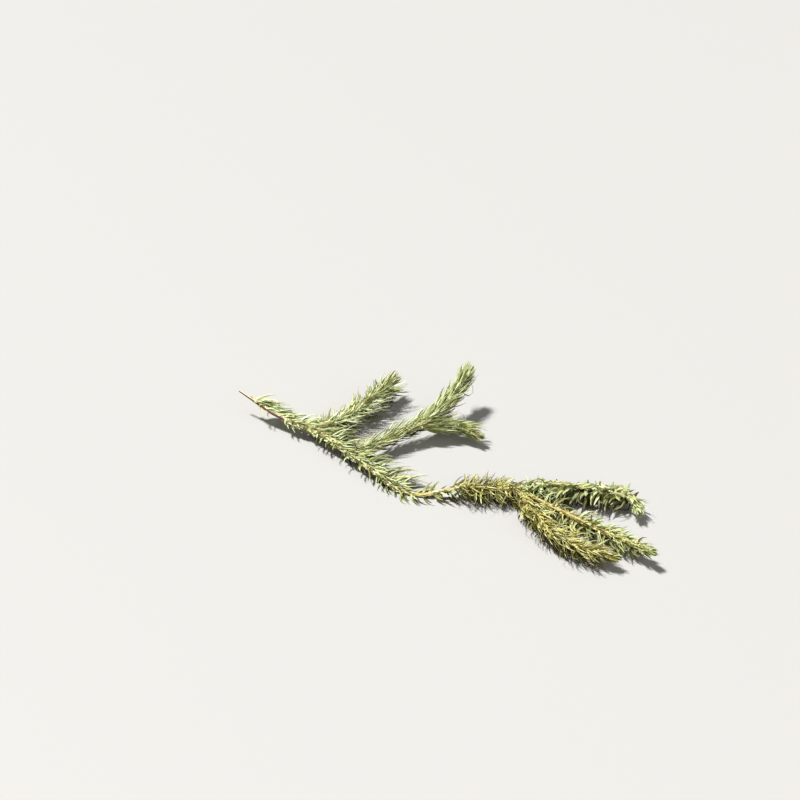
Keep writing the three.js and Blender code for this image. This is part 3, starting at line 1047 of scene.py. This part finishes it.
def leaf_material(slot, groups, colours):
    """Dried leaf: faded body, cream foot, straw point, painted shade on its margins and under the
    stem, and a soft waxy gloss.
    """
    material, g = new_material(MATERIAL_NAMES[slot])
    life_and_shade = g.parts(g.attribute("leaf_life", "Vector"))
    spread = g.parts(g.first("ShaderNodeUVMap", uv_map="leaf_map"))
    mottle = group_node(g, groups["mottle"], {"Scale": 420.0, "Contrast": 1.2})
    colour = group_node(
        g,
        groups["withering_and_shade"],
        {
            "Along": spread[0], "Across": spread[1], "Tone": life_and_shade[0], "Age": life_and_shade[1],
            "Side": life_and_shade[2], "Mottle": mottle,
            "Body": rgba(getattr(colours, slot)),
            "Foot": rgba(getattr(colours, LEAF_FEET.get(slot, "leaf_foot"))),
            "Point": rgba(getattr(colours, LEAF_POINTS.get(slot, "leaf_point"))),
            "Aged": rgba(colours.aged), "Withered": rgba(colours.withered),
            "Withered Share": LEAF_WITHERED_SHARES[slot],
        },
    )
    height = group_node(
        g, groups["wrinkles"], {"Across": spread[1], "Along": spread[0], "Count": 4.0},
    )
    bump = g.first("ShaderNodeBump", {"Height": height, "Strength": 0.5, "Distance": 0.05 * MM})
    surface = g.first(
        "ShaderNodeBsdfPrincipled",
        {
            "Base Color": colour, "Roughness": g.smooth(mottle, 0.0, 1.0, 0.32, 0.5),
            "Specular IOR Level": 0.4, "Specular Tint": LEAF_SHEEN, "Normal": bump,
        },
    )
    g.add("ShaderNodeOutputMaterial", {0: surface})
    return material


# Places along and across the sprig, in metres, where the stem changes
OLD_STEM_FULL = -41 * MM
OLD_STEM_ENDS = -34 * MM
# The old stem's red-brown side faces down and to the front: partly bark colour, partly painted shade
BARK_AND_SHADE_SIDE = Vector((-0.5, -0.45, -0.73))
BARK_AND_SHADE_RANGE = (-0.3, -0.1)
BARK_AND_SHADE_UNEVEN = 0.15
CUT_RANGE = (0.9, 0.97)
FIBRES_PER_M = 300.0
FIBRE_RANGE = (0.35, 0.6)
FIBRE_MOST = 0.6
FIBRE_TINT = (0.55, 0.48, 0.36, 1)
GOLD_STARTS = -2 * MM
GOLD_FULL = -8 * MM
PALE_SLOPE = 0.5
PALE_STARTS = 1 * MM
PALE_FULL = 5 * MM
CUT_FACES = (Vector(MAIN_ROUTE[0]) - Vector(MAIN_ROUTE[1])).normalized()


def stem_material(groups, colours):
    """Straw-coloured stem with fine fibres, red-brown on the old side near the cut end: partly bark
    colour, partly painted shade on the side facing down and to the front.
    """
    material, g = new_material(MATERIAL_NAMES["stem_straw"])
    sides = g.parts(g.attribute("stem_around", "Vector"))
    along = g.attribute("stem_along", "Fac")
    turn = g.math("ARCTAN2", sides[1], sides[0])
    mottle = group_node(g, groups["mottle"], {"Scale": 260.0, "Contrast": 1.4})
    fibres = group_node(
        g, groups["wrinkles"],
        {"Across": turn, "Along": g.times(along, FIBRES_PER_M), "Count": 6.0},
    )
    place = g.parts(g.add("ShaderNodeTexCoord").outputs["Object"])
    turned = g.smooth(place[1], GOLD_FULL, GOLD_STARTS, 1.0, 0.0)
    rear = g.math("MULTIPLY_ADD", place[0], PALE_SLOPE, place[1])
    turned = g.times(turned, g.smooth(rear, PALE_STARTS, PALE_FULL, 1.0, 0.0))
    straw = g.blend(turned, rgba(colours.stem_straw), rgba(colours.stem_gold))
    pale = g.blend(0.5, straw, rgba(colours.leaf_foot))
    skin = g.blend(mottle, straw, pale)
    dark = g.tinted(skin, FIBRE_TINT)
    skin = g.blend(g.smooth(fibres, *FIBRE_RANGE, FIBRE_MOST, 0.0), skin, dark)
    # Partly bark colour, partly painted shade: red-brown where the old stem faces down and to the
    # front
    facing = g.facing(g.attribute("stem_outward", "Vector"), BARK_AND_SHADE_SIDE)
    facing = g.plus(facing, g.times(mottle, BARK_AND_SHADE_UNEVEN))
    old = g.smooth(place[0], OLD_STEM_FULL, OLD_STEM_ENDS, 1.0, 0.0)
    bark_and_shade_mask = g.times(g.smooth(facing, *BARK_AND_SHADE_RANGE), old)
    skin = g.blend(bark_and_shade_mask, skin, rgba(colours.bark))
    normal = g.add("ShaderNodeNewGeometry").outputs["Normal"]
    cut = g.times(g.smooth(g.facing(normal, CUT_FACES), *CUT_RANGE), old)
    skin = g.blend(cut, skin, rgba(colours.pith))
    bump = g.first("ShaderNodeBump", {"Height": fibres, "Strength": 0.6, "Distance": 0.08 * MM})
    surface = g.first(
        "ShaderNodeBsdfPrincipled",
        {
            "Base Color": skin, "Roughness": g.smooth(fibres, 0.2, 0.8, 0.45, 0.7),
            "Normal": bump,
        },
    )
    g.add("ShaderNodeOutputMaterial", {0: surface})
    return material


def floor_material(colours):
    material, g = new_material("Pale floor")
    surface = g.first(
        "ShaderNodeBsdfPrincipled", {"Base Color": rgba(colours.floor), "Roughness": 0.7},
    )
    g.add("ShaderNodeOutputMaterial", {0: surface})
    return material


def finish(slot, colours):
    """The material of one slot of the record, made once."""
    made = bpy.data.materials.get(MATERIAL_NAMES[slot])
    if made:
        return made
    groups = {
        "mottle": tree_named("Dry mottle", mottle_group),
        "wrinkles": tree_named("Dry wrinkles", wrinkle_group),
        "withering_and_shade": tree_named("Withering and painted shade", withering_and_shade_group),
    }
    if slot == "stem_straw":
        return stem_material(groups, colours)
    return leaf_material(slot, groups, colours)


def tree_named(name, build):
    return bpy.data.node_groups.get(name) or build()


def placed(made, node):
    """Fixes a finished piece to the body, in the place of its node of the frame."""
    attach(made, BODY)
    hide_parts(node)


def leaves_of(coat, name, context, seed):
    """Grows one coat, bud or braid of leaf bases, which stands for its node of the frame."""
    sizes = context.scene.clubmoss_sizes
    axis = AXES[coat.axis]
    blades = bpy.data.collections.get("Blades") or blade_collection()
    slot = SLOT_OF_NODE[coat.node]
    material = finish(coat.finish or slot, context.scene.clubmoss_colours)
    count = round((coat.end - coat.start) * sizes.leaves_per_mm * coat.dense)
    left_kept, right_kept, top_kept, under_kept = coat.kept
    first_angle, last_angle = (math.radians(angle) for angle in coat.angles)
    values = {
        "Blades": blades, "Start": coat.start * MM, "End": coat.end * MM, "Leaf Count": count,
        "Left Kept": left_kept, "Right Kept": right_kept, "Top Kept": top_kept,
        "Under Kept": under_kept, "Under Shade": coat.shade, "Left Length": coat.left * MM,
        "Right Length": coat.right * MM, "End Length": coat.end_length,
        "Leaf Width": coat.width * sizes.leaf_width, "First Angle": first_angle,
        "Last Angle": last_angle, "Flatness": coat.flat, "Top Pressed": coat.top,
        "Looseness": math.radians(coat.loose), "Bend Range": coat.bend,
        "Curled Share": coat.curled,
        "First Radius": axis.radius(coat.start) * MM,
        "Last Radius": axis.radius(coat.end) * MM, "Seed": sizes.seed + seed,
        "Material": material,
    }
    made = grown(axis.host(), tree_named("Leaf coat", leaf_coat_tree), values, name)
    placed(made, coat.node)


class CLUBMOSS_OT_stems(bpy.types.Operator):
    """Grow the ridged stems along their routes"""

    bl_idname = "clubmoss.stems"
    bl_label = "Stems"

    def execute(self, context):
        sizes = context.scene.clubmoss_sizes
        material = finish("stem_straw", context.scene.clubmoss_colours)
        for node, axis_name in STEMS.items():
            axis = AXES[axis_name]
            end = axis.length - STEM_END
            values = {
                "Start": 0.0, "End": end * MM, "First Radius": axis.thick * MM,
                "Last Radius": axis.radius(end) * MM, "Worn Length": WORN_LENGTH * MM,
                "Worn Share": WORN_SHARE if axis_name == "main" else 1.0,
                "Ridges": sizes.ridges, "Ridge Depth": sizes.ridge_depth, "Material": material,
            }
            tree = tree_named("Ridged stem", stem_tree)
            made = grown(axis.host(), tree, values, f"{node}_ridged")
            placed(made, node)
        return {"FINISHED"}


class CLUBMOSS_OT_leaf_coats(bpy.types.Operator):
    """Grow the coats of dried leaves between the forks"""

    bl_idname = "clubmoss.leaf_coats"
    bl_label = "Leaf coats"

    def execute(self, context):
        for k, coat in enumerate(COATS):
            leaves_of(coat, f"{coat.node}_blades", context, k * NEXT_SEED)
        return {"FINISHED"}


class CLUBMOSS_OT_leaf_bases(bpy.types.Operator):
    """Grow the swollen leaf bases that cover the stem like a braid"""

    bl_idname = "clubmoss.leaf_bases"
    bl_label = "Leaf bases"

    def execute(self, context):
        for k, (name, coat) in enumerate(BRAIDS.items()):
            leaves_of(coat, name, context, BASE_SEED + k * NEXT_SEED)
        return {"FINISHED"}


class CLUBMOSS_OT_leaf_buds(bpy.types.Operator):
    """Grow the closed tufts of young leaves at the tips"""

    bl_idname = "clubmoss.leaf_buds"
    bl_label = "Leaf buds"

    def execute(self, context):
        for k, (node, (axis_name, leaf, open_by)) in enumerate(BUDS.items()):
            length = AXES[axis_name].length
            bud = Coat(
                node, axis_name, length - BUD_LENGTH, length, leaf, leaf, (open_by, 5), flat=0.3,
                top=0.3, loose=9, curled=0.06, shade=0.3, dense=0.9, end_length=0.55, width=1.1,
            )
            leaves_of(bud, f"{node}_tuft", context, BUD_SEED + k * NEXT_SEED)
        return {"FINISHED"}


# The studio: the floor, two lamps and the photograph's view, in metres
FLOOR_SIZE = 6.0
FLOOR_DROP = 0.02 * MM
CAMERA_PITCH = math.radians(32)
CAMERA_DISTANCE = 400 * MM
CAMERA_LENS = 65
LOOK_AT = Vector((-8.618, 36.376, 0)) * MM
KEY_PLACE = Vector((-0.5, 0.25, 1.15))
KEY_SPREAD = math.radians(8)
FILL_PLACE = Vector((0.7, -0.9, 0.6))
FILL_SPREAD = math.radians(60)
BACKDROP = 0.85


def look(made, target):
    """Turns a lamp or camera towards a target."""
    made.rotation_euler = (target - made.location).to_track_quat("-Z", "Y").to_euler()


def lamp(name, place, spread, strength):
    """A far soft light that shines from a place towards the middle of the sprig."""
    light = bpy.data.lights.new(name, "SUN")
    light.angle = spread
    light.energy = strength
    made = bpy.data.objects.new(name, light)
    made.location = place
    look(made, Vector((0, 0, 0)))
    bpy.context.scene.collection.objects.link(made)


def studio_sky(strength):
    """Even light from all round, which itself looks as pale as the floor."""
    sky = bpy.data.worlds.new("studio")
    sky.use_nodes = True
    g = Graph(sky.node_tree)
    background = sky.node_tree.nodes["Background"]
    background.inputs["Color"].default_value = (1, 1, 1, 1)
    seen = g.add("ShaderNodeLightPath").outputs["Is Camera Ray"]
    sky.node_tree.links.new(g.mix(seen, strength, BACKDROP), background.inputs["Strength"])
    return sky


class CLUBMOSS_OT_stage(bpy.types.Operator):
    """Set up the plain floor, the soft lamps and the camera"""

    bl_idname = "clubmoss.stage"
    bl_label = "Stage"

    def execute(self, context):
        scene = context.scene
        settings = scene.clubmoss_stage
        half = FLOOR_SIZE / 2
        corners = [(-half, -half), (half, -half), (half, half), (-half, half)]
        mesh = bpy.data.meshes.new("floor")
        mesh.from_pydata([(x, y, -FLOOR_DROP) for x, y in corners], [], [(0, 1, 2, 3)])
        mesh.materials.append(floor_material(scene.clubmoss_colours))
        floor = bpy.data.objects.new("floor", mesh)
        scene.collection.objects.link(floor)
        lamp("key_lamp", KEY_PLACE, KEY_SPREAD, settings.key_strength)
        lamp("fill_lamp", FILL_PLACE, FILL_SPREAD, settings.fill_strength)
        scene.world = studio_sky(settings.sky)
        camera = bpy.data.objects.new("camera", bpy.data.cameras.new("camera"))
        camera.data.lens = CAMERA_LENS
        camera.data.clip_start = 10 * MM
        ahead = Vector((0, math.cos(CAMERA_PITCH), -math.sin(CAMERA_PITCH)))
        camera.location = LOOK_AT - ahead * CAMERA_DISTANCE
        look(camera, LOOK_AT)
        scene.collection.objects.link(camera)
        scene.camera = camera
        scene.view_settings.view_transform = "Standard"
        return {"FINISHED"}


class CLUBMOSS_PT_sprig(bpy.types.Panel):
    """Lists the steps that build the sprig"""

    bl_idname = "CLUBMOSS_PT_sprig"
    bl_label = "Dried clubmoss sprig"
    bl_space_type = "VIEW_3D"
    bl_region_type = "UI"
    bl_category = "Clubmoss"

    def draw(self, context):
        layout = self.layout
        for group in ("clubmoss_sizes", "clubmoss_colours", "clubmoss_stage"):
            settings = getattr(context.scene, group)
            for name in settings.__annotations__:
                layout.prop(settings, name)
        for operator in OPERATORS:
            layout.operator(operator.bl_idname)


OPERATORS = (
    CLUBMOSS_OT_stems,
    CLUBMOSS_OT_leaf_coats,
    CLUBMOSS_OT_leaf_bases,
    CLUBMOSS_OT_leaf_buds,
    CLUBMOSS_OT_stage,
)
CLASSES = (SprigSizes, SprigColours, StageSettings, *OPERATORS, CLUBMOSS_PT_sprig)


def register():
    for cls in CLASSES:
        bpy.utils.register_class(cls)
    bpy.types.Scene.clubmoss_sizes = PointerProperty(type=SprigSizes)
    bpy.types.Scene.clubmoss_colours = PointerProperty(type=SprigColours)
    bpy.types.Scene.clubmoss_stage = PointerProperty(type=StageSettings)


def unregister():
    del bpy.types.Scene.clubmoss_stage
    del bpy.types.Scene.clubmoss_colours
    del bpy.types.Scene.clubmoss_sizes
    for cls in reversed(CLASSES):
        bpy.utils.unregister_class(cls)


def main():
    register()
    bpy.ops.clubmoss.stems()
    bpy.ops.clubmoss.leaf_coats()
    bpy.ops.clubmoss.leaf_bases()
    bpy.ops.clubmoss.leaf_buds()
    bpy.ops.clubmoss.stage()


if __name__ == "__main__":
    main()
